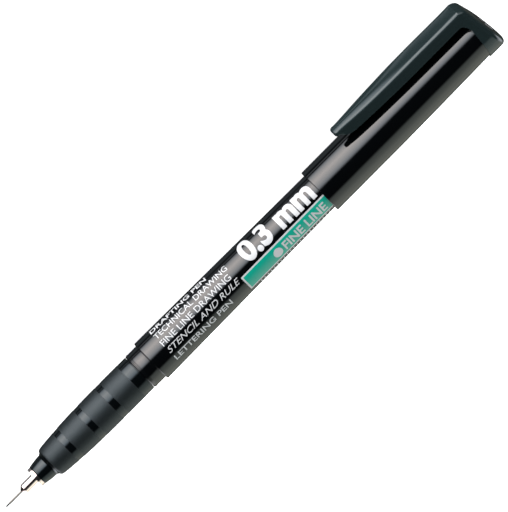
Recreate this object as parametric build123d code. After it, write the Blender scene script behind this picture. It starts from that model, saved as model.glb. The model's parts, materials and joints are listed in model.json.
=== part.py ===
"""Technical pen with a needle point, shown posted: the cap sits on the tail of the barrel.

Every piece is drawn in the pen's own frame. X runs back along the axis from the writing point, and
Z points out of the axis at the clip. The pieces are then laid on a table in the pose the pen rests
in, on its cap and one edge of its clip, with the writing point towards +X. Lengths are millimetres.
"""
from build123d import *
from math import asin, atan2, cos, degrees, hypot, sin
import os

# Clearances
press_gap = 0.01            # pieces pushed or glued together, radial
turn_gap = 0.03             # cap turning on its liner, radial
seat_gap = 0.05             # clip root in its seat

# Writing tip
nib_radius = 0.19
nib_round = 0.12
needle_start = 0.95
needle_end = 12.0
needle_radius = 0.26
holder_start = 4.70
holder_radius = 1.14
flange_start = 8.83
flange_end = 9.63
flange_radius = 2.42
holder_shank_radius = 1.60
holder_end = 14.9

# Feed
wick_start = 12.2
wick_end = 54.0
wick_radius = 0.90
wick_bore = 1.02
wick_holder_start = 22.0
wick_holder_end = 48.0
wick_holder_radius = 1.80
wick_collar_length = 2.5

# Nose cone
nose_end = 12.90
nose_radius = 2.84
nose_shank_radius = 2.55
nose_shank_end = 20.0

# Grip section
grip_start = 13.25
grip_face_radius = 2.95
grip_shoulder = (14.15, 3.78)
grip_curve = [(15.87, 3.96), (18.48, 4.17), (21.96, 4.39)]
grip_straight_start = 28.0
grip_radius = 4.59
grip_straight_end = 40.90
grip_rear_radius = 4.50
grip_end = 41.15
grip_bore = 2.90
grip_shank_radius = 3.90
grip_shank_end = 49.0

# Barrel
neck_start = 41.25
neck_radius = 4.63
neck_bead_radius = 4.69
neck_bead = (41.50, 42.20)
shoulder = 44.60
shoulder_round = 0.25
barrel_front_radius = 5.22
barrel_rear_radius = 4.49
barrel_end = 126.9
barrel_bore = 3.70
barrel_shank_bore_end = 49.6
rib_inner_radius = 3.55
rib_width = 0.6
rib_count = 4

# Ink reservoir and tail
reservoir_start = 49.7
reservoir_end = 119.0
reservoir_radius = 3.40
film_radius = 3.50
plug_start = 119.2
plug_end = 127.7
plug_wall = 0.8
plug_flange_radius = 4.38

# Cap
cap_mouth = 96.6
cap_radius = 5.66
cap_straight_end = 117.6
cap_taper_end = 141.5
cap_taper_radius = 5.39
cap_end = 145.2
cap_end_radius = 5.35
cap_slip_gap = 0.08         # cap bore over the tapered barrel, radial
snap_bead_gap = 0.035
snap_bead = (99.0, 100.0)
snap_ring = (137.6, 138.6)
snap_ring_radius = 4.70
stud_radius = 2.0
stud_end = 146.5

# Cap liner
liner_start = 128.3
liner_end = 143.4
liner_radius = 4.50
liner_bore = 3.15
liner_floor = 142.3

# Cap head and clip
head_radius = 5.70
head_rim = 144.1
head_rim_slope = 0.08       # the rim leans back towards the clip
head_end = 147.95
head_end_slope = 0.155      # the end face leans forward towards the clip
head_end_round = 1.2
clip_top = 10.33
clip_bottom = 7.10
clip_half_width = 2.48
clip_neck_half_width = 2.22
clip_tip_half_width = 1.50
clip_tip = 107.4
clip_taper_stations = (110.0, 118.3, 127.4)
clip_wall = 0.85
clip_roof = 1.25
clip_edge_round = 1.0
clip_heel_radius = 7.5
clip_heel_end = 112.5
clip_bump_x = 113.4
clip_bump_radius = 1.3
clip_bump_width = 1.6
clip_bump_clear = 0.16
hinge_x = 143.0
hinge_radius = 1.60
disc_radius = 3.85
disc_thickness = 0.5
disc_dome = 0.10


def turned(*corners):
    """Solid of revolution about the pen's axis from its (station, radius) corners."""
    return revolve(make_face(Polyline(*corners, close=True)), Axis.X)


def ring(start, end, inner, outer):
    """Plain tube about the pen's axis."""
    return turned((start, inner), (end, inner), (end, outer), (start, outer))


def rod(start, end, radius):
    """Plain round bar about the pen's axis."""
    return turned((start, 0), (end, 0), (end, radius), (start, radius))


def block(start, end, half_width, low, high):
    """Box between two stations, symmetric about the clip's plane."""
    size = (end - start, 2 * half_width, high - low)
    return Pos((start + end) / 2, 0, (low + high) / 2) * Box(*size)


def cross_bar(x, z, radius, width):
    """Round bar across the pen, parallel to the clip's hinge."""
    return Pos(x, 0, z) * Rot(90, 0, 0) * Cylinder(radius, width)


def barrel_radius_at(x):
    """Outer radius of the tapered barrel at a station."""
    part = (x - shoulder) / (barrel_end - shoulder)
    return barrel_front_radius + part * (barrel_rear_radius - barrel_front_radius)


def nib_core():
    return turned((0, 0), (wick_start, 0), (wick_start, nib_radius),
                  (nib_round, nib_radius), (0, nib_radius - nib_round / 2))


def needle_tube():
    lip = 0.04
    bore = nib_radius + press_gap
    return turned((needle_start, bore), (needle_end, bore), (needle_end, needle_radius),
                  (needle_start + lip, needle_radius), (needle_start, needle_radius - lip / 2))


def tip_holder():
    bore = needle_radius + press_gap
    wick_seat = wick_radius + press_gap
    cone_end = holder_start + 0.5
    edge = 0.08
    return turned((holder_start, bore), (holder_start, bore + 0.06), (cone_end, holder_radius - 0.15),
                  (cone_end + 0.2, holder_radius), (flange_start, holder_radius),
                  (flange_start, flange_radius - edge), (flange_start + edge, flange_radius),
                  (flange_end - edge, flange_radius), (flange_end, flange_radius - edge),
                  (flange_end, holder_shank_radius), (holder_end, holder_shank_radius),
                  (holder_end, wick_seat), (wick_start - 0.1, wick_seat), (wick_start - 0.1, bore))


def nose_cone():
    front_edge = (flange_end + 0.12, 2.52)
    crown = Spline(front_edge, (10.65, 2.70), (11.95, nose_radius - 0.01), (nose_end, nose_radius))
    seat = holder_shank_radius + press_gap
    inside = holder_end + 0.2
    rest = Polyline((nose_end, nose_radius), (nose_end, nose_shank_radius),
                    (nose_shank_end, nose_shank_radius), (nose_shank_end, wick_bore), (inside, wick_bore),
                    (inside, seat), (flange_end, seat), (flange_end, 2.42), front_edge)
    return revolve(make_face([crown, rest]), Axis.X)


def grip_section():
    nose_seat = nose_shank_radius + press_gap
    nose_seat_end = nose_shank_end + 0.5
    shoulder_arc = RadiusArc((grip_start, grip_face_radius), grip_shoulder, 0.95)
    if shoulder_arc.position_at(0.5).Y < (grip_face_radius + grip_shoulder[1]) / 2:
        shoulder_arc = RadiusArc((grip_start, grip_face_radius), grip_shoulder, -0.95)
    swell = Spline(grip_shoulder, *grip_curve, (grip_straight_start, grip_radius),
                   tangents=[(1, 0.16), (1, 0)])
    rest = Polyline((grip_straight_start, grip_radius), (grip_straight_end, grip_radius),
                    (grip_end, grip_rear_radius), (grip_end, grip_shank_radius),
                    (grip_shank_end, grip_shank_radius), (grip_shank_end, grip_bore),
                    (nose_seat_end, grip_bore),
                    (nose_seat_end, nose_seat), (grip_start, nose_seat), (grip_start, grip_face_radius))
    return revolve(make_face([shoulder_arc, swell, rest]), Axis.X)


def wick_holder():
    bore = wick_bore
    collar = grip_bore - press_gap
    front, rear = wick_holder_start, wick_holder_end
    return turned((front, bore), (rear, bore), (rear, collar), (rear - wick_collar_length, collar),
                  (rear - wick_collar_length, wick_holder_radius),
                  (front + wick_collar_length, wick_holder_radius),
                  (front + wick_collar_length, collar), (front, collar))


def feed_wick():
    return rod(wick_start, wick_end, wick_radius)


def barrel():
    shank_bore = grip_shank_radius + press_gap
    bead_start, bead_end = neck_bead
    lead = 0.12
    face_radius = barrel_front_radius - shoulder_round
    front = Polyline((neck_start, shank_bore), (neck_start, neck_radius - lead),
                     (bead_start, neck_bead_radius), (bead_end, neck_bead_radius),
                     (bead_end + lead, neck_radius), (shoulder, neck_radius),
                     (shoulder, face_radius))
    round_end = (shoulder + shoulder_round, barrel_front_radius)
    round_middle = (shoulder + 0.293 * shoulder_round, face_radius + 0.707 * shoulder_round)
    edge = ThreePointArc((shoulder, face_radius), round_middle, round_end)
    rest = Polyline(round_end, (barrel_end, barrel_rear_radius), (barrel_end, barrel_bore),
                    (barrel_shank_bore_end, barrel_bore), (barrel_shank_bore_end, shank_bore),
                    (neck_start, shank_bore))
    shell = revolve(make_face([front, edge, rest]), Axis.X)
    rib_stock = ring(reservoir_start, reservoir_end, rib_inner_radius, barrel_bore + 0.2)
    rib = block(reservoir_start, reservoir_end, rib_width / 2, 0, barrel_bore + 1)
    spokes = [Rot(360 * i / rib_count, 0, 0) * rib for i in range(rib_count)]
    for spoke in spokes:
        shell += rib_stock & spoke
    return shell


def reservoir():
    hole = wick_radius + press_gap
    return turned((reservoir_start, hole), (reservoir_start, reservoir_radius),
                  (reservoir_end, reservoir_radius), (reservoir_end, 0),
                  (wick_end + 0.1, 0), (wick_end + 0.1, hole))


def reservoir_film():
    return ring(reservoir_start, reservoir_end, reservoir_radius + press_gap, film_radius)


def tail_plug():
    outer = barrel_bore - press_gap
    inner = outer - plug_wall
    edge = 0.2
    return turned((plug_start, inner), (plug_start, outer), (barrel_end, outer),
                  (barrel_end, plug_flange_radius), (plug_end - edge, plug_flange_radius),
                  (plug_end, plug_flange_radius - edge), (plug_end, 0),
                  (plug_end - 1.2, 0), (plug_end - 1.2, inner))


def inner_cap():
    ring_start, ring_end = snap_ring
    lead = 0.3
    return turned((liner_start, liner_bore + lead), (liner_start, liner_radius - 0.1),
                  (liner_start + 0.1, liner_radius), (ring_start, liner_radius),
                  (ring_start, snap_ring_radius), (ring_end, snap_ring_radius),
                  (ring_end, liner_radius), (liner_end, liner_radius),
                  (liner_end, 0), (liner_floor, 0), (liner_floor - 1.0, liner_bore),
                  (liner_start + 2 * lead, liner_bore))


def cap_tube():
    edge = 0.2
    mouth_bore = barrel_radius_at(cap_mouth) + cap_slip_gap
    bead_start, bead_end = snap_bead
    ring_start, ring_end = snap_ring
    liner_seat = liner_radius + turn_gap
    seat_start = liner_start - 0.1
    groove = snap_ring_radius + turn_gap
    floor = liner_end + 0.1
    play = 0.05
    swell = Spline((cap_straight_end, cap_radius), (cap_taper_end, cap_taper_radius),
                   (cap_end, cap_end_radius), tangents=[(1, 0), (1, -0.0108)])
    rest = Polyline((cap_end, cap_end_radius), (cap_end, stud_radius), (stud_end, stud_radius),
                    (stud_end, 0), (floor, 0), (floor, liner_seat), (ring_end + play, liner_seat),
                    (ring_end + play, groove), (ring_start - play, groove),
                    (ring_start - play, liner_seat), (seat_start, liner_seat),
                    (seat_start, barrel_radius_at(barrel_end) + cap_slip_gap),
                    (bead_end + edge, barrel_radius_at(bead_end) + cap_slip_gap),
                    (bead_end, barrel_radius_at(bead_start) + snap_bead_gap),
                    (bead_start, barrel_radius_at(bead_start) + snap_bead_gap),
                    (bead_start - edge, barrel_radius_at(bead_start) + cap_slip_gap),
                    (cap_mouth + edge, mouth_bore), (cap_mouth, mouth_bore + edge),
                    (cap_mouth, cap_radius - edge), (cap_mouth + edge, cap_radius),
                    (cap_straight_end, cap_radius))
    return revolve(make_face([swell, rest]), Axis.X)


def flank_angle():
    """Angle of the head's flat side: it touches the head's circle and the rounded edge of the clip."""
    reach = hypot(clip_top - clip_edge_round, clip_half_width - clip_edge_round)
    bearing = atan2(clip_half_width - clip_edge_round, clip_top - clip_edge_round)
    return asin((head_radius - clip_edge_round) / reach) - bearing


def teardrop():
    """Outline of the cap head: a circle run by flat sides into the two rounded edges of the clip."""
    across, up = cos(flank_angle()), sin(flank_angle())
    edge_x, edge_y = clip_half_width - clip_edge_round, clip_top - clip_edge_round
    right = [(edge_x, clip_top), (edge_x + clip_edge_round * across, edge_y + clip_edge_round * up),
             (head_radius * across, head_radius * up)]
    left = [(-x, y) for x, y in reversed(right)]
    edges = Circle(clip_edge_round)
    return make_face(Polyline(*right, *left, close=True)) + Circle(head_radius) + [
        Pos(edge_x, edge_y) * edges, Pos(-edge_x, edge_y) * edges]


def leaning_slab(station, slope, thickness):
    """Thick slab whose front face crosses the axis at a station and leans towards the clip."""
    tilt = Plane(origin=(station, 0, 0), x_dir=(0, 1, 0), z_dir=(1, 0, slope))
    return extrude(tilt * Rectangle(60, 60), thickness)


def disc_plane():
    return Plane(origin=(head_end, 0, 0), x_dir=(0, 1, 0), z_dir=(1, 0, head_end_slope))


def cap_head():
    body = extrude(Pos(head_rim - 3, 0, 0) * (Plane.YZ * teardrop()), 14)
    body -= leaning_slab(head_end, head_end_slope, 12)
    body = fillet(body.faces().sort_by(Axis.X)[-1].outer_wire().edges(), head_end_round)
    root_lips = block(hinge_x + 0.4, head_rim + 2, head_radius, clip_bottom, clip_top + 1)
    body -= leaning_slab(head_rim, -head_rim_slope, -12) - root_lips
    body -= cross_bar(hinge_x, clip_top - hinge_radius, hinge_radius + seat_gap, 2 * head_radius)
    body -= rod(head_rim - 3, cap_end + press_gap, cap_end_radius + 0.03)
    body -= rod(cap_end, stud_end + press_gap, stud_radius + press_gap)
    return body - extrude(disc_plane() * Circle(disc_radius + press_gap), -disc_thickness)


def cap_end_disc():
    disc = extrude(disc_plane() * Circle(disc_radius), -disc_thickness + press_gap)
    dome_radius = (disc_radius ** 2 + disc_dome ** 2) / (2 * disc_dome)
    ball = Sphere(dome_radius)
    dome = disc_plane().location * (Pos(0, 0, disc_dome - dome_radius) * ball)
    return disc + (dome & extrude(disc_plane() * Circle(disc_radius), disc_dome * 2))


def clip_outline(inset, start, end):
    """Plan of the clip: a round nose that widens in two tapers to a straight bar."""
    first, second, third = clip_taper_stations
    nose = clip_tip_half_width - inset
    nose_centre = clip_tip + clip_tip_half_width
    right = [(nose_centre, nose), (first, nose + 0.04), (second, clip_neck_half_width - inset),
             (third, clip_half_width - inset), (end, clip_half_width - inset)]
    left = [(x, -y) for x, y in reversed(right)]
    tip = ThreePointArc(left[-1], (start, 0), right[0])
    return make_face([Polyline(*right, *left), tip])


def clip():
    root_end = hinge_x + hinge_radius
    bar = Pos(0, 0, clip_bottom) * extrude(clip_outline(0, clip_tip, root_end), clip_top - clip_bottom)
    rim_edges = bar.faces().sort_by(Axis.Z)[-1].edges().filter_by(lambda e: e.center().X < root_end - 0.1)
    bar = fillet(rim_edges, clip_edge_round)
    beyond_hinge = block(hinge_x, root_end + 1, 6, 0, clip_top + 1)
    bar -= beyond_hinge - cross_bar(hinge_x, clip_top - hinge_radius, hinge_radius, 12)
    channel_end = hinge_x - 2.5
    channel = extrude(clip_outline(clip_wall, clip_tip + clip_wall, channel_end), clip_top - clip_roof)
    bar -= channel
    heel_box = block(clip_tip - 1, clip_heel_end, 5, 0, clip_top)
    bar -= heel_box - cross_bar(clip_heel_end, clip_bottom + clip_heel_radius, clip_heel_radius, 12)
    bump_bottom = cap_radius + clip_bump_clear
    bump = cross_bar(clip_bump_x, bump_bottom + clip_bump_radius, clip_bump_radius, clip_bump_width)
    bump += block(clip_bump_x - clip_bump_radius, clip_bump_x + clip_bump_radius, clip_bump_width / 2,
                  bump_bottom + clip_bump_radius, clip_top - clip_roof + 0.2)
    return bar + bump


makers = [nib_core, needle_tube, tip_holder, nose_cone, grip_section, feed_wick, wick_holder, barrel,
          reservoir, reservoir_film, tail_plug, inner_cap, cap_tube, cap_head, cap_end_disc, clip]

# The pen lies on a flat side of its cap head, so the clip hangs below the level.
droop = flank_angle()
clip_direction = Vector(0, -cos(droop), -sin(droop))
lying = Plane(origin=(0, 0, 0), x_dir=(-1, 0, 0), z_dir=clip_direction).location

laid = {maker.__name__: lying * maker() for maker in makers}
bounds = Compound(list(laid.values())).bounding_box()
shift = Vector(-bounds.center().X, -bounds.center().Y, -bounds.min.Z)

os.makedirs("parts", exist_ok=True)
for name, piece in laid.items():
    placed = Pos(shift) * piece
    placed.label = name
    export_step(placed, os.path.join("parts", name + ".step"))

print("droop of the clip, degrees:", round(degrees(droop), 3))
print("pen axis at y, z:", round(shift.Y, 4), round(shift.Z, 4), " writing point at x:", round(shift.X, 4))
print("size x, y, z:", [round(v, 3) for v in bounds.size])
print("clip direction:", [round(v, 5) for v in clip_direction])
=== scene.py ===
import bpy
import json
from math import acos, atan2, cos, degrees, hypot, pi, radians, sin, sqrt
from mathutils import Matrix, Vector


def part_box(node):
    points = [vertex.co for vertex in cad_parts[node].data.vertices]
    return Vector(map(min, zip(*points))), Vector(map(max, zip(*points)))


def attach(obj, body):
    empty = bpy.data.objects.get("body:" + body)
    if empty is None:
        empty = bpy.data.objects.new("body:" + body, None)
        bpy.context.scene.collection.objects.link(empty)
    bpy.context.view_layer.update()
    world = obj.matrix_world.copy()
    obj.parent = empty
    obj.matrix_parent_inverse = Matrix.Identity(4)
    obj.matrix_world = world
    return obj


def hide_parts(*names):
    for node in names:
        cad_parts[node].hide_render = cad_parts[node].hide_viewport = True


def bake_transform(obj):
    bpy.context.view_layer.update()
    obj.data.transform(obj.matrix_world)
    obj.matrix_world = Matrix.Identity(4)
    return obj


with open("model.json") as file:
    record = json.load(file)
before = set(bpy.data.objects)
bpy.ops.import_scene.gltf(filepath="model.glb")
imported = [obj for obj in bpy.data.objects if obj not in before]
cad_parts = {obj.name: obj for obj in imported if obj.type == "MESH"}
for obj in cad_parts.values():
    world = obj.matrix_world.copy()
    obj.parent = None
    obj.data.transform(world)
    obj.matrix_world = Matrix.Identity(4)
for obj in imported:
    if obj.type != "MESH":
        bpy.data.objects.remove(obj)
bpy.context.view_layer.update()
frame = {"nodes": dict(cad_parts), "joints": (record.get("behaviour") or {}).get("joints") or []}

# ---------------------------------------------------------------------------------------------
# Nib core: the fibre point that writes. A bundle of bonded acrylic fibres, ground to a blunt
# round end, that stands a little out of its needle. Outlines are given as (millimetres back
# from the writing point, millimetres out from the pen's axis), and turned about that axis.
MM = 0.001
point_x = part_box("nib_core")[1].x
barrel_low, barrel_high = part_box("barrel")
axis_y = (barrel_low.y + barrel_high.y) / 2
axis_z = (barrel_low.z + barrel_high.z) / 2


def outline_point(back, out):
    return Vector((point_x - back * MM, axis_y, axis_z + out * MM))


def only_select(piece):
    if bpy.context.object and bpy.context.object.mode != "OBJECT":
        bpy.ops.object.mode_set(mode="OBJECT")
    bpy.ops.object.select_all(action="DESELECT")
    piece.select_set(True)
    bpy.context.view_layer.objects.active = piece


def draw(name, points):
    """A chain of edges, drawn by extruding one vertex from point to point. It stays in edit mode."""
    bpy.ops.object.select_all(action="DESELECT")
    bpy.ops.mesh.primitive_plane_add(size=MM, location=(0, 0, 0))
    piece = bpy.context.object
    piece.name = piece.data.name = name
    bpy.ops.object.mode_set(mode="EDIT")
    bpy.ops.mesh.merge(type="CENTER")
    bpy.ops.transform.translate(value=points[0])
    for before, after in zip(points, points[1:]):
        bpy.ops.mesh.extrude_region_move(TRANSFORM_OT_translate={"value": after - before})
    return piece


def turn(name, outline, steps=96):
    """A solid of revolution: the outline is drawn, spun once round the pen's axis and closed."""
    piece = draw(name, [outline_point(*p) for p in outline])
    bpy.ops.mesh.select_all(action="SELECT")
    bpy.ops.mesh.spin(steps=steps, angle=2 * pi, center=(0, axis_y, axis_z), axis=(1, 0, 0))
    bpy.ops.mesh.select_all(action="SELECT")
    bpy.ops.mesh.remove_doubles(threshold=0.0004 * MM)
    bpy.ops.mesh.normals_make_consistent(inside=False)
    bpy.ops.object.mode_set(mode="OBJECT")
    return piece


def round_edges(piece, width, segments=3, sharper_than=30):
    """Rounds each edge sharper than an angle, as a mould or a lathe leaves it, and shades it smooth."""
    only_select(piece)
    bevel = piece.modifiers.new("round", "BEVEL")
    bevel.width = width * MM
    bevel.segments = segments
    bevel.limit_method = "ANGLE"
    bevel.angle_limit = radians(sharper_than)
    bpy.ops.object.modifier_apply(modifier=bevel.name)
    bpy.ops.object.shade_smooth_by_angle(angle=radians(50))


def arc(centre, radius, start, end, count):
    """Points of an arc in an outline, its angles in degrees from the way back, towards outwards."""
    turns = [radians(start + (end - start) * i / count) for i in range(count + 1)]
    return [(centre[0] + radius * cos(a), centre[1] + radius * sin(a)) for a in turns]


def linear(hex_colour):
    """An sRGB hex colour as the linear colour that a shader takes."""
    parts = [int(hex_colour[i:i + 2], 16) / 255 for i in (0, 2, 4)]
    return tuple(c / 12.92 if c <= 0.04045 else ((c + 0.055) / 1.055) ** 2.4 for c in parts) + (1.0,)


def new_material(name, **sockets):
    """A material whose shader has these constant sockets. Returns the material, its shader, and the
    Object coordinates that its patterns are placed by."""
    material = bpy.data.materials.new(name)
    material.use_nodes = True
    shader = material.node_tree.nodes["Principled BSDF"]
    for socket, value in sockets.items():
        shader.inputs[socket.replace("_", " ")].default_value = value
    place_on = material.node_tree.nodes.new("ShaderNodeTexCoord").outputs["Object"]
    return material, shader, place_on


def feed(owner, source, target, socket):
    """Links a node's first output, or else the output given, to a socket of another node."""
    output = source if isinstance(source, bpy.types.NodeSocket) else source.outputs[0]
    owner.node_tree.links.new(output, target.inputs[socket])


def add_node(owner, kind, settings=None, links=None):
    """Adds a node to a material or a world. A setting is the value of an input or a property,
    and a link is what feeds an input."""
    node = owner.node_tree.nodes.new(kind)
    for name, value in (settings or {}).items():
        if isinstance(name, int) or name in node.inputs:
            node.inputs[name].default_value = value
        else:
            setattr(node, name, value)
    for name, source in (links or {}).items():
        feed(owner, source, node, name)
    return node


def per_mm(spacing):
    """The texture scale that repeats once in this many millimetres, on Object coordinates."""
    return 1 / (spacing * MM)


def dress(piece, *materials):
    """Gives a piece its materials in place of any that it has."""
    piece.data.materials.clear()
    for material in materials:
        piece.data.materials.append(material)


nib_radius = 0.19
nib_end = 12.2
tip_rounding = 0.14

# Bonded fibre soaked in black ink: dull, near black, with the ends of the fibres showing as fine
# grain. The fibres are about 0.02 mm thick, and drawn three times as coarse so that they show
fibre_grain = 0.06
fibre, fibre_shader, place_on = new_material(
    "nib_fibre_inked", Base_Color=linear("1c1a1b"), Roughness=0.6, IOR=1.45)
grain = add_node(fibre, "ShaderNodeTexNoise", {"Scale": per_mm(fibre_grain), "Detail": 3.0},
                 {"Vector": place_on})
relief = add_node(fibre, "ShaderNodeBump", {"Strength": 0.4, "Distance": 0.02 * MM}, {"Height": grain})
feed(fibre, relief, fibre_shader, "Normal")

nib_tip = arc((tip_rounding, nib_radius - tip_rounding), tip_rounding, 180, 90, 6)
nib = turn("nib_point", [(0, 0), *nib_tip, (nib_end, nib_radius), (nib_end, 0)], 32)
round_edges(nib, 0.02, 2)
dress(nib, fibre)
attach(nib, "pen_body")
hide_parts("nib_core")

# ---------------------------------------------------------------------------------------------
# Needle: the thin drawn stainless tube round the nib core, which keeps the line width steady and
# stands clear of a ruler's edge. Its front lip is rolled in a little over the fibre.
needle_radius = 0.26
needle_bore = 0.20
needle_front, needle_rear = 0.95, 12.0
lip_radius, lip_length = 0.235, 0.06

# Stainless steel, drawn through a die: bright, with fine lines along the tube. The lines are about
# 0.01 mm apart, and drawn five times as coarse so that they show
die_lines = 0.05
steel, steel_shader, place_on = new_material(
    "stainless_steel_drawn", Base_Color=linear("706c69"), Metallic=1.0, Roughness=0.12)
stretched = add_node(steel, "ShaderNodeMapping", {"Scale": (0.04, 1.0, 1.0)}, {"Vector": place_on})
lines = add_node(steel, "ShaderNodeTexNoise", {"Scale": per_mm(die_lines), "Detail": 2.0},
                 {"Vector": stretched})
streaks = add_node(steel, "ShaderNodeMapRange", {"To Min": 0.09, "To Max": 0.15}, {"Value": lines})
feed(steel, streaks, steel_shader, "Roughness")

needle = turn("needle", [
    (needle_front, needle_bore), (needle_front, lip_radius), (needle_front + lip_length, needle_radius),
    (needle_rear, needle_radius), (needle_rear, needle_bore), (needle_front, needle_bore)], 32)
round_edges(needle, 0.015, 2, 25)
dress(needle, steel)
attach(needle, "pen_body")
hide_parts("needle_tube")

# ---------------------------------------------------------------------------------------------
# Tip holder: the stepped metal piece that grips the needle. Turned from bar on a lathe, with an
# ogive front and a thin flange, then nickel plated. Its shank is pressed into the nose cone.
holder_front, holder_rear = 4.70, 14.9
holder_radius = 1.14
holder_face = 0.36
cone_length, cone_radius = 0.66, 0.98
ogive_rounding = 0.24
flange_front, flange_back = 8.83, 9.63
flange_radius = 2.42
holder_shank = 1.60
needle_seat = 0.27
wick_seat, wick_seat_front = 0.92, 12.1

# Bright nickel over turned brass: slightly warm, mirror-like, with faint rings from the lathe's feed
lathe_feed = 0.09
nickel, nickel_shader, place_on = new_material(
    "nickel_plate_turned", Base_Color=linear("f2ded6"), Metallic=1.0, Roughness=0.12)
parts = add_node(nickel, "ShaderNodeSeparateXYZ", links={"Vector": place_on})
rings = add_node(nickel, "ShaderNodeTexNoise", {
    "noise_dimensions": "1D", "Scale": per_mm(lathe_feed), "Detail": 2.0}, {"W": parts.outputs["X"]})
relief = add_node(nickel, "ShaderNodeBump", {"Strength": 0.25, "Distance": 0.003 * MM}, {"Height": rings})
feed(nickel, relief, nickel_shader, "Normal")
polish = add_node(nickel, "ShaderNodeMapRange", {"To Min": 0.08, "To Max": 0.16}, {"Value": rings})
feed(nickel, polish, nickel_shader, "Roughness")

ogive_end = arc((holder_front + 0.92, holder_radius - ogive_rounding), ogive_rounding, 140, 90, 4)
holder = turn("tip_holder_turned", [
    (holder_front, needle_seat), (holder_front, holder_face), (holder_front + cone_length, cone_radius),
    *ogive_end, (flange_front, holder_radius), (flange_front, flange_radius), (flange_back, flange_radius),
    (flange_back, holder_shank), (holder_rear, holder_shank), (holder_rear, wick_seat),
    (wick_seat_front, wick_seat), (wick_seat_front, needle_seat), (holder_front, needle_seat)])
round_edges(holder, 0.07, 3, 35)
dress(holder, nickel)
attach(holder, "pen_body")
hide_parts("tip_holder")

# ---------------------------------------------------------------------------------------------
# Nose cone: short black cone behind the flange, injection moulded in ABS against a polished
# tool. It swells towards the rear, and its shank is pushed into the grip section.
nose_back = 12.83
nose_front_radius, nose_radius = 2.46, 2.84
nose_shank, nose_shank_back = 2.55, 20.0
holder_socket, holder_socket_back = 1.62, 15.1
wick_way = 1.02


def moulded_gloss(name, colour, rough_low, rough_high, **sockets):
    """ABS moulded against polished steel: deep black and glossy, with a faint unevenness left by
    handling, about 2.5 mm across, and a slow waviness left by cooling, about 7 mm across."""
    gloss, shader, place_on = new_material(name, Base_Color=linear(colour), IOR=1.54, **sockets)
    handling = add_node(gloss, "ShaderNodeTexNoise", {"Scale": per_mm(2.5), "Detail": 5.0},
                        {"Vector": place_on})
    sheen = add_node(gloss, "ShaderNodeMapRange", {
        "From Min": 0.35, "From Max": 0.75, "To Min": rough_low, "To Max": rough_high},
        {"Value": handling})
    feed(gloss, sheen, shader, "Roughness")
    waves = add_node(gloss, "ShaderNodeTexNoise", {"Scale": per_mm(7.0), "Detail": 1.0},
                     {"Vector": place_on})
    relief = add_node(gloss, "ShaderNodeBump", {"Strength": 0.12, "Distance": 0.15 * MM},
                      {"Height": waves})
    feed(gloss, relief, shader, "Normal")
    return gloss


# The nose and the grip's rings: glossy black, a little bluer and duller than the barrel
front_gloss = moulded_gloss("abs_gloss_grip_black", "030506", 0.09, 0.14,
                            Specular_Tint=(0.60, 0.68, 0.72, 1.0))

swell = [(flange_back + (nose_back - flange_back) * i / 12,
          nose_front_radius + (nose_radius - nose_front_radius) * sin(radians(90 * i / 12)))
         for i in range(13)]
nose = turn("nose_cone_moulded", [
    (flange_back, holder_socket), *swell, (nose_back, nose_shank), (nose_shank_back, nose_shank),
    (nose_shank_back, wick_way), (holder_socket_back, wick_way), (holder_socket_back, holder_socket),
    (flange_back, holder_socket)])
round_edges(nose, 0.10, 3)
dress(nose, front_gloss)
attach(nose, "pen_body")
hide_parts("nose_cone")

# ---------------------------------------------------------------------------------------------
# Grip section: black ABS moulding that swells from a rounded shoulder to its full width. The
# tool is spark eroded, which leaves a matt skin for the fingers, except for four polished rings.
grip_lip, lip_slope_back = 12.88, 13.28
lip_inner, lip_outer = 2.86, 3.12
shoulder_centre, shoulder_rounding = (14.20, 2.83), 0.95
matt_from = 13.55
grip_back = 41.15
grip_full = 4.56
skin_height = 0.03
step_length = 0.02
nose_socket, nose_socket_back = 2.60, 20.5
grip_shank, grip_shank_back = 3.90, 49.0
wick_room = 2.90
polished_rings = [(18.33, 19.88), (25.05, 26.60), (31.74, 33.35), (38.55, grip_back)]
# the swelling of the grip: given stations, joined by a smooth curve
grip_shape = [(14.15, 3.78), (15.87, 3.94), (18.48, 4.15), (21.96, 4.36), (28.0, 4.53), (34.0, 4.555),
              (41.0, grip_full)]


def smooth_curve(stations, at):
    """Height at a place of the smooth curve through given stations."""
    for i in range(len(stations) - 1):
        (x0, y0), (x1, y1) = stations[i], stations[i + 1]
        if at <= x1 or i == len(stations) - 2:
            xa, ya = stations[max(i - 1, 0)]
            xb, yb = stations[min(i + 2, len(stations) - 1)]
            slope0, slope1 = (y1 - ya) / (x1 - xa), (yb - y0) / (xb - x0)
            t, span = (at - x0) / (x1 - x0), x1 - x0
            return (y0 * (1 + 2 * t) * (1 - t) ** 2 + slope0 * span * t * (1 - t) ** 2
                    + y1 * t * t * (3 - 2 * t) + slope1 * span * t * t * (t - 1))


def in_ring(back):
    return any(start < back < end for start, end in polished_rings)


# ABS moulded against a spark-eroded tool: dull black, with a fine even grain of rounded pits. The
# pits are about 0.1 mm across, and drawn twice as coarse so that they show
spark_pits = 0.22
matt, matt_shader, place_on = new_material(
    "abs_spark_texture", Base_Color=linear("070b0c"), Roughness=0.5, IOR=1.5, Specular_Tint=(0.80, 0.93,
    1.0, 1.0))
pits = add_node(matt, "ShaderNodeTexNoise", {"Scale": per_mm(spark_pits), "Detail": 3.0, "Roughness": 0.65},
                {"Vector": place_on})
relief = add_node(matt, "ShaderNodeBump", {"Strength": 0.9, "Distance": 0.05 * MM}, {"Height": pits})
feed(matt, relief, matt_shader, "Normal")
worn = add_node(matt, "ShaderNodeTexNoise", {"Scale": per_mm(5.0), "Detail": 4.0}, {"Vector": place_on})
dull = add_node(matt, "ShaderNodeMapRange", {"To Min": 0.44, "To Max": 0.56}, {"Value": worn})
feed(matt, dull, matt_shader, "Roughness")

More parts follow.
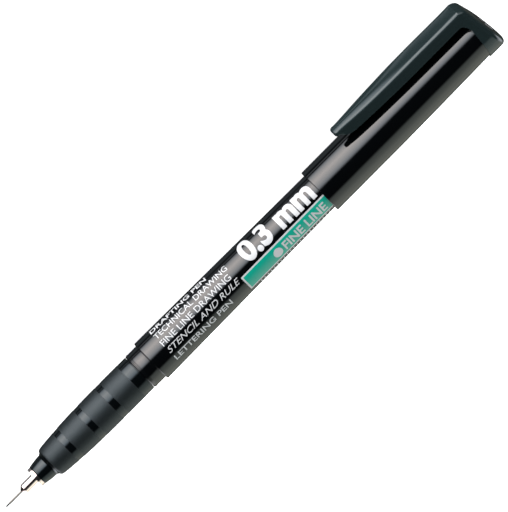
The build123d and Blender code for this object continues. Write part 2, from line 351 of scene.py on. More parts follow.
grip_outline = [(grip_lip, nose_socket), (grip_lip, lip_inner), (lip_slope_back, lip_outer),
                *arc(shoulder_centre, shoulder_rounding, 158, 93, 7)]
stations = [14.4 + 0.5 * i for i in range(53)]
ring_starts = [start for start, end in polished_rings]
edges = sorted({edge for ring in polished_rings for edge in ring if edge < grip_back})
for place in sorted(set(stations + edges)):
    height = smooth_curve(grip_shape, place)
    if place in ring_starts:
        grip_outline += [(place, height + skin_height), (place + step_length, height)]
    elif place in edges:
        grip_outline += [(place, height), (place + step_length, height + skin_height)]
    elif all(abs(place - edge) > 0.1 for edge in edges):
        grip_outline.append((place, height + (0.0 if in_ring(place) else skin_height)))
grip_outline += [
    (grip_back - 0.25, grip_full), (grip_back, grip_full - 0.08), (grip_back, grip_shank),
    (grip_shank_back, grip_shank), (grip_shank_back, wick_room), (nose_socket_back, wick_room),
    (nose_socket_back, nose_socket), (grip_lip, nose_socket)]
grip = turn("grip_moulded", grip_outline, 128)
dress(grip, front_gloss, matt)
for face in grip.data.polygons:
    back = (point_x - face.center.x) / MM
    out = hypot(face.center.y - axis_y, face.center.z - axis_z) / MM
    on_skin = matt_from < back < grip_back and out > 3.4 and not in_ring(back)
    face.material_index = 1 if on_skin else 0
only_select(grip)
bpy.ops.object.shade_smooth_by_angle(angle=radians(35))
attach(grip, "pen_body")
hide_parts("grip_section")

# ---------------------------------------------------------------------------------------------
# Feed wick and its holder: a bonded fibre rod that draws ink forward to the nib core, kept on
# the axis by a collared polythene sleeve. Both are closed in by the grip section.
# Bonded polyester fibre, soaked: dark, dull, with its fibres running along the pen. The fibres are
# about 0.02 mm thick, and drawn four times as coarse so that they show
strand_width = 0.08
wick, wick_shader, place_on = new_material(
    "polyester_fibre_inked", Base_Color=linear("2a292e"), Roughness=0.85, IOR=1.45)
stretched = add_node(wick, "ShaderNodeMapping", {"Scale": (0.03, 1.0, 1.0)}, {"Vector": place_on})
strands = add_node(wick, "ShaderNodeTexNoise", {"Scale": per_mm(strand_width), "Detail": 4.0},
                   {"Vector": stretched})
relief = add_node(wick, "ShaderNodeBump", {"Strength": 0.6, "Distance": 0.05 * MM}, {"Height": strands})
feed(wick, relief, wick_shader, "Normal")
soaking = add_node(wick, "ShaderNodeValToRGB", links={"Fac": strands})
soaking.color_ramp.elements[0].color = linear("17161a")
soaking.color_ramp.elements[1].color = linear("3a393f")
feed(wick, soaking, wick_shader, "Base Color")
dress(frame["nodes"]["feed_wick"], wick)

# Natural polythene, moulded: milky, waxy, with soft light passing a little way in
polythene, polythene_shader, place_on = new_material(
    "polythene_natural", Base_Color=linear("dcdcd4"), Roughness=0.38, IOR=1.5, Subsurface_Weight=0.25,
    Subsurface_Radius=(0.0012, 0.0011, 0.0009), Subsurface_Scale=1.0)
flow = add_node(polythene, "ShaderNodeTexNoise", {"Scale": per_mm(3.0), "Detail": 3.0},
                {"Vector": place_on})
waxy = add_node(polythene, "ShaderNodeMapRange", {"To Min": 0.32, "To Max": 0.45}, {"Value": flow})
feed(polythene, waxy, polythene_shader, "Roughness")
dress(frame["nodes"]["wick_holder"], polythene)

# ---------------------------------------------------------------------------------------------
# Ink reservoir and its film: a rod of bonded polyester fibre that holds the ink, wrapped in a
# clear polypropylene sleeve so that the ink can't reach the barrel. Slid in from the rear.
dress(frame["nodes"]["reservoir"], wick)

# Polypropylene film: clear and glossy, slightly milky, with a faint crinkle
film, film_shader, place_on = new_material(
    "polypropylene_film", Base_Color=linear("d9dcde"), Roughness=0.18, IOR=1.49, Transmission_Weight=0.6)
crinkle = add_node(film, "ShaderNodeTexNoise", {"Scale": per_mm(1.5), "Detail": 2.0},
                   {"Vector": place_on})
relief = add_node(film, "ShaderNodeBump", {"Strength": 0.3, "Distance": 0.05 * MM}, {"Height": crinkle})
feed(film, relief, film_shader, "Normal")
dress(frame["nodes"]["reservoir_film"], film)

# ---------------------------------------------------------------------------------------------
# Barrel: one long tapered ABS tube, moulded in gloss black. In front of its shoulder a stepped
# neck with a raised bead takes the cap when the pen is closed, and the grip's shank goes inside.
neck_front, neck_radius = 41.25, 4.63
neck_face = 4.50
bead_front, bead_front_radius = 41.50, 4.67
bead_centre, bead_rounding, bead_back = (41.85, 4.34), 0.35, 42.32
shoulder, shoulder_radius = 44.60, 5.22
barrel_rounding = 0.25
barrel_back, tail_radius = 126.9, 4.49
barrel_bore = 3.70
grip_socket, grip_socket_back = 3.92, 49.6


def barrel_radius(back):
    return shoulder_radius + (tail_radius - shoulder_radius) * (back - shoulder) / (barrel_back - shoulder)


# The barrel and cap: deep glossy black
gloss = moulded_gloss("abs_gloss_black", "020304", 0.07, 0.12)

neck_bead = arc(bead_centre, bead_rounding, 130, 50, 6)
taper_front = shoulder + barrel_rounding
front_rounding = arc((taper_front, shoulder_radius - barrel_rounding), barrel_rounding, 180, 90, 6)
taper_places = [taper_front + (barrel_back - taper_front) * i / 12 for i in range(1, 13)]
barrel = turn("barrel_moulded", [
    (neck_front, grip_socket), (neck_front, neck_face), (bead_front, bead_front_radius), *neck_bead,
    (bead_back, neck_radius), (shoulder, neck_radius), *front_rounding,
    *[(place, barrel_radius(place)) for place in taper_places], (barrel_back, barrel_bore),
    (grip_socket_back, barrel_bore), (grip_socket_back, grip_socket), (neck_front, grip_socket)], 160)
round_edges(barrel, 0.06, 2, 40)
dress(barrel, gloss)
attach(barrel, "pen_body")
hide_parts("barrel")

# ---------------------------------------------------------------------------------------------
# Prints on the barrel: white and green inks, screen printed round the tube and cured. Each film
# is about two hundredths of a millimetre thick, stands on the gloss and has its own duller surface.
half_film = 0.010
bend_step = 0.15

# Screen ink, cured by ultraviolet light: dense, satin, with the faint mesh of the screen in it. The
# mesh is about 0.1 mm, and drawn more than twice as coarse so that it shows
screen_mesh = 0.25
inks = {}
for colour_name, colour, dullness in [("white", "b8babc", 0.34), ("green", "009680", 0.28)]:
    ink, ink_shader, place_on = new_material(
        "screen_ink_" + colour_name, Base_Color=linear(colour), Roughness=dullness, IOR=1.5)
    screen = add_node(ink, "ShaderNodeTexNoise", {"Scale": per_mm(screen_mesh), "Detail": 2.0},
                      {"Vector": place_on})
    relief = add_node(ink, "ShaderNodeBump", {"Strength": 0.15, "Distance": 0.01 * MM},
                      {"Height": screen})
    feed(ink, relief, ink_shader, "Normal")
    inks[colour_name] = ink


def outward(bearing):
    """Direction out from the axis, by its angle above the level on the clip's side of the pen."""
    return Vector((0, -cos(radians(bearing)), sin(radians(bearing))))


def wrap(piece, start, bearing, lift=0.0):
    """Cuts a flat print into narrow strips, then lays it round the barrel. The print reads back
    along the pen from its start, with its foot towards higher bearings."""
    only_select(piece)
    bpy.ops.object.mode_set(mode="EDIT")
    low = min(v.co.y for v in piece.data.vertices)
    high = max(v.co.y for v in piece.data.vertices)
    count = int((high - low) / bend_step)
    for i in range(count + 1):
        bpy.ops.mesh.select_all(action="SELECT")
        bpy.ops.mesh.bisect(plane_co=(0, low + (i + 0.5) * bend_step, 0), plane_no=(0, 1, 0))
    bpy.ops.object.mode_set(mode="OBJECT")
    for vertex in piece.data.vertices:
        along, across, height = vertex.co
        radius = barrel_radius(start + along)
        direction = outward(bearing - degrees(across / radius))
        reach = (radius + lift + height) * MM
        vertex.co = Vector((point_x - (start + along) * MM, axis_y, axis_z)) + reach * direction
    bpy.ops.object.shade_smooth_by_angle(angle=radians(30))


def print_words(name, words, start, end, bearing, height, slant=0.0, weight=0.0, lift=0.0):
    """Words printed between two stations, as high as asked, centred on a bearing."""
    bpy.ops.object.select_all(action="DESELECT")
    bpy.ops.object.text_add(location=(0, 0, 0))
    text = bpy.context.object
    text.data.body = words
    text.data.shear = slant
    text.data.offset = weight
    text.data.resolution_u = 10
    text.data.extrude = 0.01
    bpy.ops.object.convert(target="MESH")
    piece = bpy.context.object
    piece.name = piece.data.name = name
    xs = [v.co.x for v in piece.data.vertices]
    ys = [v.co.y for v in piece.data.vertices]
    across = (end - start) / (max(xs) - min(xs))
    up = height / (max(ys) - min(ys))
    for vertex in piece.data.vertices:
        vertex.co.x = (vertex.co.x - min(xs)) * across
        vertex.co.y = (vertex.co.y - (max(ys) + min(ys)) / 2) * up
        vertex.co.z = half_film if vertex.co.z > 0 else -half_film
    bpy.ops.object.mode_set(mode="EDIT")
    bpy.ops.mesh.select_all(action="SELECT")
    bpy.ops.mesh.remove_doubles(threshold=0.0001)
    wrap(piece, start, bearing, lift)
    return piece


def print_patch(name, size, rounding, start, bearing, lift=0.0):
    """A rounded rectangle of ink from a start, centred on a bearing. Its size is along and across."""
    length, width = size
    bpy.ops.object.select_all(action="DESELECT")
    bpy.ops.mesh.primitive_plane_add(size=1, location=(length / 2, 0, -half_film))
    piece = bpy.context.object
    piece.name = piece.data.name = name
    bpy.ops.transform.resize(value=(length, width, 1))
    bpy.ops.object.transform_apply(location=True, rotation=True, scale=True)
    bpy.ops.object.mode_set(mode="EDIT")
    bpy.ops.mesh.select_all(action="SELECT")
    bpy.ops.mesh.bevel(offset=rounding, segments=5, affect="VERTICES")
    bpy.ops.mesh.select_all(action="SELECT")
    bpy.ops.mesh.extrude_region_move(TRANSFORM_OT_translate={"value": (0, 0, 2 * half_film)})
    bpy.ops.mesh.select_all(action="SELECT")
    bpy.ops.mesh.normals_make_consistent(inside=False)
    wrap(piece, start, bearing, lift)
    return piece


def join(name, pieces):
    bpy.ops.object.select_all(action="DESELECT")
    for piece in pieces:
        piece.select_set(True)
    bpy.context.view_layer.objects.active = pieces[0]
    bpy.ops.object.join()
    pieces[0].name = pieces[0].data.name = name
    return pieces[0]


# each row's words, where they start and end, their bearing, slant and the weight of their strokes
rows = [("DRAFTING PEN", 48.81, 65.65, -34.0, 0.0, 0.020),
        ("TECHNICAL DRAWING", 48.85, 70.59, -10.0, 0.0, 0.0),
        ("FINE LINE DRAWING", 48.92, 69.79, 14.3, 0.0, 0.0),
        ("STENCIL AND RULE", 48.85, 70.76, 37.4, 0.35, 0.0),
        ("LETTERING PEN", 48.92, 66.30, 64.6, 0.0, 0.010)]
row_height = 1.45
small_print = join("print_rows", [
    print_words("row", words, start, end, bearing, row_height, slant, weight)
    for words, start, end, bearing, slant, weight in rows])

big_mark = print_words("print_width_mark", "0.3 mm", start=74.6, end=95.6, bearing=-4.5, height=5.8,
                       weight=0.04)

panel_start, panel_length = 71.2, 27.2
panel_low, panel_high = 37.0, 88.0
panel_width = radians(panel_high - panel_low) * barrel_radius(85)
panel_middle = (panel_high + panel_low) / 2
border_width = 0.4
green_lift, marks_lift = 0.012, 0.024
border = print_patch("print_panel_border", (panel_length, panel_width), 0.25, panel_start, panel_middle)
green_size = (panel_length - 2 * border_width, panel_width - 2 * border_width)
panel = print_patch("print_panel_green", green_size, 0.12, panel_start + border_width, panel_middle,
                    green_lift)
marks_bearing = 63.0
panel_words = print_words("panel_words", "FINE LINE", start=82.7, end=95.5, bearing=marks_bearing,
                          height=2.3, weight=0.02, lift=marks_lift)
bpy.ops.object.select_all(action="DESELECT")
bpy.ops.mesh.primitive_cylinder_add(vertices=40, radius=1.17, depth=2 * half_film, location=(0, 0, 0))
dot = bpy.context.object
wrap(dot, 80.9, marks_bearing, marks_lift)
panel_marks = join("print_panel_marks", [panel_words, dot])

# a scale of ticks, a millimetre apart, with every fifth one longer
ticks_start, tick_pitch = 74.0, 1.0
tick_row = join("print_ticks", [
    print_patch("tick", (0.25, 1.3 if i % 5 == 0 else 0.8), 0.05, ticks_start + tick_pitch * i, 98.0)
    for i in range(22)])

for piece, ink_name in [(small_print, "white"), (big_mark, "white"), (border, "white"), (panel, "green"),
                        (panel_marks, "white"), (tick_row, "white")]:
    dress(piece, inks[ink_name])
    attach(piece, "pen_body")

# ---------------------------------------------------------------------------------------------
# Tail plug: a thimble of black ABS pushed into the rear of the barrel to hold the reservoir in.
# Its rim closes the end of the tube. Seen only when the cap is off.
plug_front, plug_radius, plug_bore = 119.2, 3.69, 2.89
plug_rim, plug_back = 4.38, 127.7
dimple_radius, dimple_floor, dimple_depth = 1.1, 0.9, 0.2
plug_wall_front = 126.5

# ABS moulded against a blasted tool: satin black. The blasting is finer than 0.1 mm, and drawn twice
# as coarse so that it shows
blast_marks = 0.2
satin, satin_shader, place_on = new_material(
    "abs_satin_black", Base_Color=linear("060607"), Roughness=0.32, IOR=1.5)
blasted = add_node(satin, "ShaderNodeTexNoise", {"Scale": per_mm(blast_marks), "Detail": 2.0},
                   {"Vector": place_on})
relief = add_node(satin, "ShaderNodeBump", {"Strength": 0.2, "Distance": 0.01 * MM}, {"Height": blasted})
feed(satin, relief, satin_shader, "Normal")

plug = turn("tail_plug_moulded", [
    (plug_front, plug_bore), (plug_front, plug_radius), (barrel_back, plug_radius), (barrel_back, plug_rim),
    (plug_back, plug_rim), (plug_back, dimple_radius), (plug_back - dimple_depth, dimple_floor),
    (plug_back - dimple_depth, 0), (plug_wall_front, 0), (plug_wall_front, plug_bore),
    (plug_front, plug_bore)])
round_edges(plug, 0.15, 3, 40)
dress(plug, satin)
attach(plug, "pen_body")
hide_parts("tail_plug")

# ---------------------------------------------------------------------------------------------
# Inner cap: the soft polythene liner snapped into the cap. Its mouth seals on the grip's front
# shoulder when the pen is closed, so that the ink in the nib can't dry.
liner_mouth, liner_back = 128.3, 143.4
liner_radius, liner_bore = 4.50, 3.15
mouth_chamfer, mouth_inner = 0.10, 3.45
snap_front, snap_back, snap_radius = 137.6, 138.6, 4.70
liner_end_wall, end_rounding = 142.3, 1.0

liner_end = arc((liner_end_wall - end_rounding, liner_bore - end_rounding), end_rounding, 0, 90, 5)
liner = turn("inner_cap_moulded", [
    (liner_mouth, mouth_inner), (liner_mouth, liner_radius - mouth_chamfer),
    (liner_mouth + mouth_chamfer, liner_radius), (snap_front, liner_radius), (snap_front, snap_radius),
    (snap_back, snap_radius), (snap_back, liner_radius), (liner_back, liner_radius), (liner_back, 0),
    (liner_end_wall, 0), *liner_end, (liner_mouth + 0.6, liner_bore), (liner_mouth, mouth_inner)])
round_edges(liner, 0.05, 2, 40)
dress(liner, polythene)
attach(liner, "cap_liner")
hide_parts("inner_cap")

# ---------------------------------------------------------------------------------------------
# Cap tube: gloss black ABS sleeve. A bead just inside its mouth clicks over the bead on the
# neck. Here it is pushed on the tail of the barrel. The rear end is closed and carries the head.
cap_mouth, cap_back = 96.6, 145.2
cap_radius, cap_back_radius = 5.66, 5.33
mouth_rounding, mouth_bore = 0.2, 5.05
boss_radius, boss_back = 2.0, 146.5
end_wall_front = 143.5
liner_room, groove_room = 4.53, 4.73
groove_front, groove_back = 137.55, 138.65
# the outside narrows a little to the rear: given stations, joined by a smooth curve
skin_front = cap_mouth + mouth_rounding
cap_shape = [(skin_front, cap_radius), (110.0, cap_radius), (117.6, 5.655), (126.0, 5.59), (134.0, 5.50),
             (141.5, 5.39), (cap_back, cap_back_radius)]
# the inside, from the liner's seat to the mouth: a long taper, and the snap bead
cap_bore = [(128.2, liner_room), (128.2, 4.57), (100.2, 4.81), (100.0, 4.772), (99.0, 4.772), (98.8, 4.825),
            (96.8, 4.844)]

cap_lip = arc((skin_front, cap_radius - mouth_rounding), mouth_rounding, 180, 90, 5)
cap_skin = [(skin_front + 2.0 * i, smooth_curve(cap_shape, skin_front + 2.0 * i)) for i in range(1, 25)]
cap = turn("cap_tube_moulded", [
    (cap_mouth, mouth_bore), *cap_lip, *cap_skin, (cap_back, cap_back_radius), (cap_back, boss_radius),
    (boss_back, boss_radius), (boss_back, 0), (end_wall_front, 0), (end_wall_front, liner_room),
    (groove_back, liner_room), (groove_back, groove_room), (groove_front, groove_room),
    (groove_front, liner_room), *cap_bore, (cap_mouth, mouth_bore)], 160)
round_edges(cap, 0.05, 2, 40)
dress(cap, gloss)
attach(cap, "cap")
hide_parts("cap_tube")

# ---------------------------------------------------------------------------------------------
# Cap head and clip: one glossy ABS moulding, tinted a little green, snapped over the cap tube. The
# head is teardrop shaped, its flat sides run forward into a deep-sided clip, hollow underneath.
hinge = next(joint for joint in frame["joints"] if joint["name"] == "clip_flex")
across_clip = Vector(hinge["axis"])
clip_out = Vector((-1, 0, 0)).cross(across_clip)
head_radius = 5.70
head_rim, rim_lean = 144.1, 0.08
head_back, back_lean = 147.95, -0.155
back_round = 1.30
clip_top, clip_bottom = 10.33, 7.60
edge_radius = 1.0
corner_across, corner_up = 1.48, 9.33
flank = atan2(corner_up, corner_across) - acos((head_radius - edge_radius) / hypot(corner_across, corner_up))
rim_fillet = 2.2
clip_foot = clip_bottom - rim_fillet


def section_place(back, across, up):
    """Place in the frame of a point given in the clip's own section."""
    return Vector((point_x - back * MM, axis_y, axis_z)) + across * MM * across_clip + up * MM * clip_out


def section_of(place):
    """The reverse: (back, across, up) in millimetres."""
    offset = place - Vector((point_x, axis_y, axis_z))
    return -offset.x / MM, offset.dot(across_clip) / MM, offset.dot(clip_out) / MM


def flank_across(up):
    """Half width of the head's flat flank at a height."""
    return (head_radius - up * sin(flank)) / cos(flank)


def mirrored(half):
    """A half outline that ends on the middle plane, with its mirror image after it."""
    return half + [(-across, up) for across, up in reversed(half[:-1])]


# half of the rim's outline: a round belly, a flat flank, a rounded corner, and the flat top
crown_shares = (0.67, 0.33, 0.0)
upper_outline = [(flank_across(clip_foot), clip_foot)]
upper_outline += [(corner_across + edge_radius * cos(a), corner_up + edge_radius * sin(a))
                  for a in (flank + (pi / 2 - flank) * i / 8 for i in range(9))]
upper_outline += [(corner_across * share, clip_top) for share in crown_shares]
belly = [(head_radius * cos(a), head_radius * sin(a))
         for a in (-pi / 2 + (flank + pi / 2) * i / 28 for i in range(29))]

teardrop = mirrored(belly + upper_outline)
head = draw("cap_head_and_clip", [section_place(head_rim, *p) for p in teardrop])
bpy.ops.mesh.select_all(action="SELECT")
bpy.ops.mesh.remove_doubles(threshold=0.001 * MM)
bpy.ops.mesh.edge_face_add()
bpy.ops.mesh.bisect(plane_co=section_place(head_rim, 0, clip_foot), plane_no=clip_out, threshold=0.001 * MM)


def move_selected(piece, rule):
    """Moves the selected vertices by a rule on their (back, across, up)."""
    bpy.ops.object.mode_set(mode="OBJECT")
    for vertex in piece.data.vertices:
        if vertex.select:
            vertex.co = section_place(*rule(*section_of(vertex.co)))
    bpy.ops.object.mode_set(mode="EDIT")


def extrude_back(distance):
    bpy.ops.mesh.extrude_region_move(TRANSFORM_OT_translate={"value": (-distance * MM, 0, 0)})


# the head, from its rim back to a rounded end; the rounding is a quarter circle in seven steps
head_length = head_back - back_round - head_rim
bpy.ops.mesh.select_all(action="SELECT")
extrude_back(head_length)
end_middle, end_reach = 1.6, 6.6
done, shrunk = 0.0, 1.0
for i in range(1, 8):
    a = radians(90 * i / 7)
    extrude_back(back_round * sin(a) - done)
    done = back_round * sin(a)
    share = 1 - back_round * (1 - cos(a)) / end_reach
    bpy.ops.transform.resize(value=(1, share / shrunk, share / shrunk),
                             center_override=section_place(head_back, 0, end_middle))
    shrunk = share
# a round recess in the end face, for the disc
recess_radius, recess_depth = 3.87, 0.45
extrude_back(0.0)
move_selected(head, lambda back, across, up: (
    back, across * recess_radius / hypot(across, up), up * recess_radius / hypot(across, up)))
extrude_back(-recess_depth)

eased_above, easing = 8.9, 0.39


def lean(back, across, up):
    """The rim and the end face lean opposite ways, seen from the side. The end's top corner is eased."""
    share = min(1.0, (back - head_rim) / head_length)
    eased = easing * max(0.0, up - eased_above) ** 2
    return back + (rim_lean + (back_lean - rim_lean) * share) * up - eased * share, across, up


bpy.ops.mesh.select_all(action="SELECT")
move_selected(head, lean)

# the clip is drawn forward out of the upper part of the rim, station by station
clip_tip, nose_length = 107.4, 1.0
nose_rounding = 0.6
draft = radians(18.5)
narrowest = 108.9
clip_widths = [(narrowest, 1.50), (110.4, 1.60), (114.0, 1.93), (118.3, 2.20), (123.0, 2.38), (128.0, 2.48),
               (146.0, 2.48)]
clip_tops = [(107.0, 10.25), (112.0, 10.26), (118.0, 10.28), (126.0, 10.33), (133.0, 10.33), (141.0, 10.27),
             (146.0, 10.3)]
heel_end, heel_radius, heel_rise = 111.3, 3.2, 1.6
flare = 1.15
crown_from, crown_length = 132.0, 20.0
crown_least, crown_gain = 0.02, 0.24


def clip_half_section(station):
    """Half of the clip's section, from its foot up and over to the middle of its crowned top, and
    how much it still leans with the rim. In the flare it changes from the rim's outline."""
    ahead = head_rim - station
    nose = max(0.0, 1 - (station - clip_tip) / nose_length)
    half = smooth_curve(clip_widths, max(station, narrowest)) * (1 - nose ** 2.5) ** 0.4
    front = max(0.0, 1 - (station - clip_tip) / nose_rounding)
    top = smooth_curve(clip_tops, station) - 0.45 * (1 - sqrt(1 - front ** 2))
    climb = min(max(0.0, heel_end - station), heel_radius)
    bottom = clip_bottom + min(heel_radius - sqrt(heel_radius ** 2 - climb ** 2), heel_rise)
    share = sqrt(1 - max(0.0, 1 - ahead / flare) ** 2)
    bottom -= rim_fillet * (1 - share)
    corner = min(edge_radius, 0.62 * half, 0.7 * (top - bottom))
    flat = half - corner
    crowned = max(0.0, min(1.0, (crown_from - station) / crown_length)) ** 1.5
    crown = (crown_least + crown_gain * crowned) * flat / corner_across
    tilt = atan2(2 * crown, flat)
    centre_up = top - crown - corner * cos(tilt)
    section = [(flat + (corner + (centre_up - bottom) * sin(draft)) / cos(draft), bottom)]
    section += [(flat + corner * cos(a), centre_up + corner * sin(a))
                for a in (draft + (pi / 2 - tilt - draft) * i / 8 for i in range(9))]
    edge_across = section[-1][0]
    section += [(edge_across * part, top - crown * part ** 2) for part in crown_shares]
    rim_section = [(flank_across(bottom), bottom)] + upper_outline[1:]
    section = [(a + (c - a) * share, b + (d - b) * share) for (a, b), (c, d) in zip(rim_section, section)]
    return section, (1 - share) * rim_lean


bpy.ops.mesh.select_all(action="DESELECT")
bpy.ops.object.mode_set(mode="OBJECT")
middle_of_head = 145.5
for face in head.data.polygons:
    back, across, up = section_of(face.center)
    at_rim = abs(face.normal.x) > 0.9 and back < middle_of_head
    face.select = at_rim and up > clip_foot and len(face.vertices) > 20
bpy.ops.object.mode_set(mode="EDIT")
clip_stations = [head_rim - flare * (1 - cos(radians(a))) for a in (27, 43, 58, 73, 90)]
clip_stations += [142.3, 141.6, 140.8, 138, 135, 132, 129, 126, 123, 120, 117.5, 115.5, 114, 112.5, 111.5,
                  110.9, 110.4, 109.9, 109.5, 109.1, 108.7]
clip_stations += [clip_tip + nose_length * (1 - cos(radians(a))) for a in (88, 72, 57, 43, 31, 20)]
for station in clip_stations:
    extrude_back(0.0)
    bpy.ops.object.mode_set(mode="OBJECT")
    half_section, slope = clip_half_section(station)
    face = next(p for p in head.data.polygons if p.select)
    places = {i: section_of(head.data.vertices[i].co) for i in face.vertices}
    heights = [up for back, across, up in places.values()]
    middle_up = (min(heights) + max(heights)) / 2
    turns = {i: degrees(atan2(up - middle_up, across)) for i, (back, across, up) in places.items()}
    order = sorted(places, key=lambda i: (turns[i] + 90) % 360)
    for i, (across, up) in zip(order, mirrored(half_section)):
        head.data.vertices[i].co = section_place(station + slope * up, across, up)
    bpy.ops.object.mode_set(mode="EDIT")

# the channel under the clip: the underside is inset by the wall, and pushed up to the roof
wall, roof = 0.85, 1.25
channel_front, channel_back = 115.5, 141.0
channel_depth = clip_top - roof - clip_bottom
bpy.ops.mesh.select_all(action="SELECT")
bpy.ops.mesh.normals_make_consistent(inside=False)
bpy.ops.mesh.select_all(action="DESELECT")
bpy.ops.object.mode_set(mode="OBJECT")
for face in head.data.polygons:
    back, across, up = section_of(face.center)
    underneath = face.normal.dot(clip_out) < -0.9 and up < clip_bottom + 0.6
    face.select = underneath and channel_front < back < channel_back
bpy.ops.object.mode_set(mode="EDIT")
bpy.ops.mesh.inset(thickness=wall * MM, use_boundary=True)
bpy.ops.mesh.extrude_region_move(TRANSFORM_OT_translate={"value": clip_out * channel_depth * MM})
bpy.ops.mesh.select_all(action="SELECT")
bpy.ops.mesh.normals_make_consistent(inside=False)

# the bump under the tip, which rests on the cap and pinches what is under the clip
bump_back, bump_length, bump_depth, bump_width = 113.4, 1.5, 1.78, 1.7
bump_up = clip_bottom + 0.02
bpy.ops.object.mode_set(mode="OBJECT")
bpy.ops.object.select_all(action="DESELECT")
bpy.ops.mesh.primitive_cylinder_add(vertices=48, radius=1.0, depth=bump_width, rotation=(pi / 2, 0, 0))
bump = bpy.context.object
bpy.ops.object.transform_apply(location=True, rotation=True, scale=True)
for vertex in bump.data.vertices:
    x, y, z = vertex.co
    vertex.co = section_place(bump_back - x * bump_length, y, bump_up + z * bump_depth)
head = join("cap_head_and_clip", [head, bump])
round_edges(head, 0.12, 3, 38)
weighed = head.modifiers.new("flat faces stay flat", "WEIGHTED_NORMAL")
weighed.keep_sharp = True
bpy.ops.object.modifier_apply(modifier=weighed.name)

# ABS with a trace of green in its black, a touch less glossy than the tubes
tinted = moulded_gloss("abs_gloss_tinted_black", "1a2425", 0.09, 0.14, Specular_Tint=(0.66, 0.72, 0.74, 1.0))
dress(head, tinted)
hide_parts("cap_head", "clip")
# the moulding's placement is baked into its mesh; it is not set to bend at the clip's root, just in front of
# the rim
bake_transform(head)

# ---------------------------------------------------------------------------------------------
# End disc: a thin domed disc of black ABS, glued into the recess of the head. It carries the
# line width in white, so that the pen can be picked out of a stand by its end.
disc_radius, disc_thickness, disc_dome = 3.85, 0.5, 0.10
disc_edge = 0.08
disc_back = head_back - recess_depth + disc_thickness
disc_front = disc_back - disc_thickness


def dome_back(out):
    """How far back the domed face lies, at a distance out from the axis."""
    return disc_back - 0.05 + disc_dome * (1 - (out / disc_radius) ** 2)


dome = [(dome_back(out), out) for out in (3.2, 2.6, 2.0, 1.4, 0.7, 0.0)]
disc = turn("cap_end_disc_moulded", [
    (disc_front, 0), (disc_front, disc_radius), (disc_back - 0.15, disc_radius),
    (disc_back - 0.05, disc_radius - disc_edge), *dome], 96)
round_edges(disc, 0.03, 2, 40)
for vertex in disc.data.vertices:
    back, across, up = section_of(vertex.co)
    vertex.co = section_place(back + back_lean * up, across, up)
dress(disc, satin)
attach(disc, "cap")
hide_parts("cap_end_disc")

number_root = 0.02
bpy.ops.object.select_all(action="DESELECT")
bpy.ops.object.text_add(location=(0, 0, 0))
number = bpy.context.object
number.data.body = "0.3"
number.data.extrude = 0.01
number.data.offset = 0.02
number.data.size = 3.6
number.data.align_x, number.data.align_y = "CENTER", "CENTER"
bpy.ops.object.convert(target="MESH")
number = bpy.context.object
number.name = number.data.name = "print_end_number"
for vertex in number.data.vertices:
    across, up, z = vertex.co
    back = dome_back(hypot(across, up)) + (half_film if z > 0 else -number_root)
    vertex.co = section_place(back + back_lean * up, across, up)
bpy.ops.object.mode_set(mode="EDIT")
bpy.ops.mesh.select_all(action="SELECT")
bpy.ops.mesh.remove_doubles(threshold=0.001 * MM)
bpy.ops.mesh.normals_make_consistent(inside=False)
bpy.ops.object.mode_set(mode="OBJECT")
dress(number, inks["white"])
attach(number, "cap")

# ---------------------------------------------------------------------------------------------
# Studio: the pen lies on a white light table. Long soft boxes run beside it, low in front and
# high behind, and a long lens looks down at it from 25 degrees, rolled to set it diagonally.
bpy.context.scene.view_settings.view_transform = "Standard"

# Opal acrylic lit from below: an even white with no shadows. Its own light is left out of the
# pen's reflections, which come from the soft boxes alone
bpy.ops.object.select_all(action="DESELECT")
bpy.ops.mesh.primitive_plane_add(size=6.0, location=(0, 0, 0))
floor = bpy.context.object
floor.name = "studio_floor"
acrylic = new_material("acrylic_light_table_white", Base_Color=linear("ffffff"), Roughness=1.0,
                       Emission_Color=linear("ffffff"), Emission_Strength=1.0)[0]
dress(floor, acrylic)
floor.visible_glossy = floor.visible_diffuse = floor.visible_shadow = floor.visible_transmission = False

# the light that comes from beside the pen, by its angle round the pen, from the level in front of
# it (0) by way of straight up (90): (degrees, brightness, tint)
brightest = 9.0
lighting = [(-180, 0.25, "f4fff2"), (-155, 0.06, "f4fff2"), (-115, 0.12, "e8f6ff"), (-90, 0.35, "e8f6ff"),
            (-84, 0.02, "e8f6ff"), (-74, 0.02, "e8f6ff"), (-71, 1.8, "f0f8ff"), (-68, 0.02, "e8f6ff"),
            (-62, 0.03, "e8f6ff"), (-56, 2.9, "eef6ff"), (-45, 5.5, "f8f8fa"), (-23, 8.5, "fff8f5"),
            (0, 6.1, "f8f8fa"), (12, 4.1, "eef6ff"), (23, 0.02, "e8f6ff"), (79, 0.02, "e8f6ff"),
            (90, 1.0, "f2fff8"), (125, 1.45, "f8fff4"), (155, 0.95, "fcfff0"), (180, 0.25, "f4fff2")]
# further towards the pen's two ends there are only two soft boxes, low in front and high behind
side_lighting = [(-180, 0.10, "f4fff2"), (-75, 0.05, "e8f6ff"), (-45, 0.8, "f8f8fa"), (-20, 2.0, "f8f8fa"),
                 (10, 2.0, "f8f8fa"), (22, 0.05, "e8f6ff"), (118, 0.05, "e8f6ff"), (134, 3.0, "f8faff"),
                 (158, 3.4, "f8faff"), (170, 2.0, "f8faff"), (180, 0.10, "f4fff2")]
world = bpy.data.worlds.new("studio")
bpy.context.scene.world = world
world.use_nodes = True
background = world.node_tree.nodes["Background"]
background.inputs["Strength"].default_value = brightest
direction = add_node(world, "ShaderNodeTexCoord")
parts = add_node(world, "ShaderNodeSeparateXYZ", links={"Vector": direction})
forward = add_node(world, "ShaderNodeMath", {"operation": "MULTIPLY", 1: -1.0}, {0: parts.outputs["Y"]})
angle = add_node(world, "ShaderNodeMath", {"operation": "ARCTAN2"}, {0: parts.outputs["Z"], 1: forward})
turned = add_node(world, "ShaderNodeMapRange", {"From Min": -pi, "From Max": pi}, {"Value": angle})
ramps = []
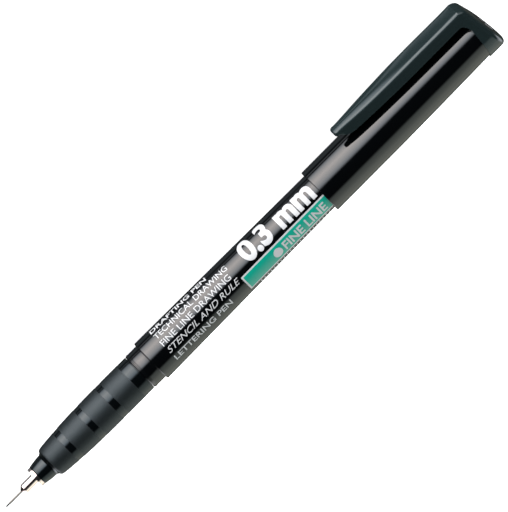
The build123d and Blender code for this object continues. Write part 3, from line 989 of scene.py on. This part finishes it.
for stations in (lighting, side_lighting):
    ramp = add_node(world, "ShaderNodeValToRGB", links={"Fac": turned})
    stops = ramp.color_ramp.elements
    while len(stops) < len(stations):
        stops.new(0.5)
    for stop, (degree, brightness, tint) in zip(stops, stations):
        stop.position = (degree + 180) / 360
    for stop, (degree, brightness, tint) in zip(stops, stations):
        stop.color = [c * brightness / brightest for c in linear(tint)[:3]] + [1.0]
    ramps.append(ramp)

# how far a direction points along the pen picks the ramp, and dims the light beyond the two ends
sideways = add_node(world, "ShaderNodeMath", {"operation": "ABSOLUTE"}, {0: parts.outputs["X"]})
to_side = add_node(world, "ShaderNodeMapRange", {
    "interpolation_type": "SMOOTHSTEP", "From Min": 0.25, "From Max": 0.55}, {"Value": sideways})
to_end = add_node(world, "ShaderNodeMapRange", {
    "interpolation_type": "SMOOTHSTEP", "From Min": 0.80, "From Max": 0.94, "To Min": 1.0, "To Max": 0.1},
    {"Value": sideways})
around = add_node(world, "ShaderNodeMix", {"data_type": "RGBA"})
feed(world, to_side, around, "Factor")
first_colour, second_colour, mixed_colour = 6, 7, 2
feed(world, ramps[0], around, first_colour)
feed(world, ramps[1], around, second_colour)
lit = add_node(world, "ShaderNodeVectorMath", {"operation": "SCALE"},
               {0: around.outputs[mixed_colour], "Scale": to_end})
feed(world, lit, background, "Color")
# beyond the floor's edge the camera sees the same white
path = add_node(world, "ShaderNodeLightPath")
white = add_node(world, "ShaderNodeBackground", {"Color": (1, 1, 1, 1), "Strength": 1.0})
mixer = add_node(world, "ShaderNodeMixShader", links={
    0: path, 1: background, 2: white})
feed(world, mixer, world.node_tree.nodes["World Output"], "Surface")

# a broad soft light above and behind lifts the inks and the matt skin, and leaves no glare on the gloss
soft_width, soft_depth, soft_strength = 1.0, 0.5, 1.4
bpy.ops.object.light_add(type="AREA", location=(0, 0.45, 0.55), rotation=(radians(-40), 0, 0))
overhead = bpy.context.object
overhead.name = "soft_overhead"
overhead.data.shape = "RECTANGLE"
overhead.data.size, overhead.data.size_y = soft_width, soft_depth
overhead.data.energy = soft_strength * pi * soft_width * soft_depth
overhead.visible_camera = overhead.visible_glossy = False

# the camera's right, its upward and the way to it, turned with its roll; the view is aimed from the
# writing point, in millimetres
roll, looking_down = radians(45.18), radians(25)
away = Vector((-1, 0, 0))
to_camera = Vector((0, -cos(looking_down), sin(looking_down)))
aside = Vector((0, sin(looking_down), cos(looking_down)))
right = cos(roll) * away + sin(roll) * aside
upward = sin(roll) * away - cos(roll) * aside
aim_right, aim_upward, aim_away = 53.70, 54.35, 0.23
distance, frame_width = 2.0, 0.11044
aim = Vector((point_x, axis_y, axis_z)) + (aim_right * right + aim_upward * upward + aim_away * away) * MM
bpy.ops.object.camera_add(location=aim + distance * to_camera)
camera = bpy.context.object
camera.rotation_euler = Matrix((right, upward, to_camera)).transposed().to_euler()
camera.data.sensor_fit = "HORIZONTAL"
camera.data.lens = camera.data.sensor_width * distance / frame_width
camera.data.clip_start = 0.01
bpy.context.scene.camera = camera
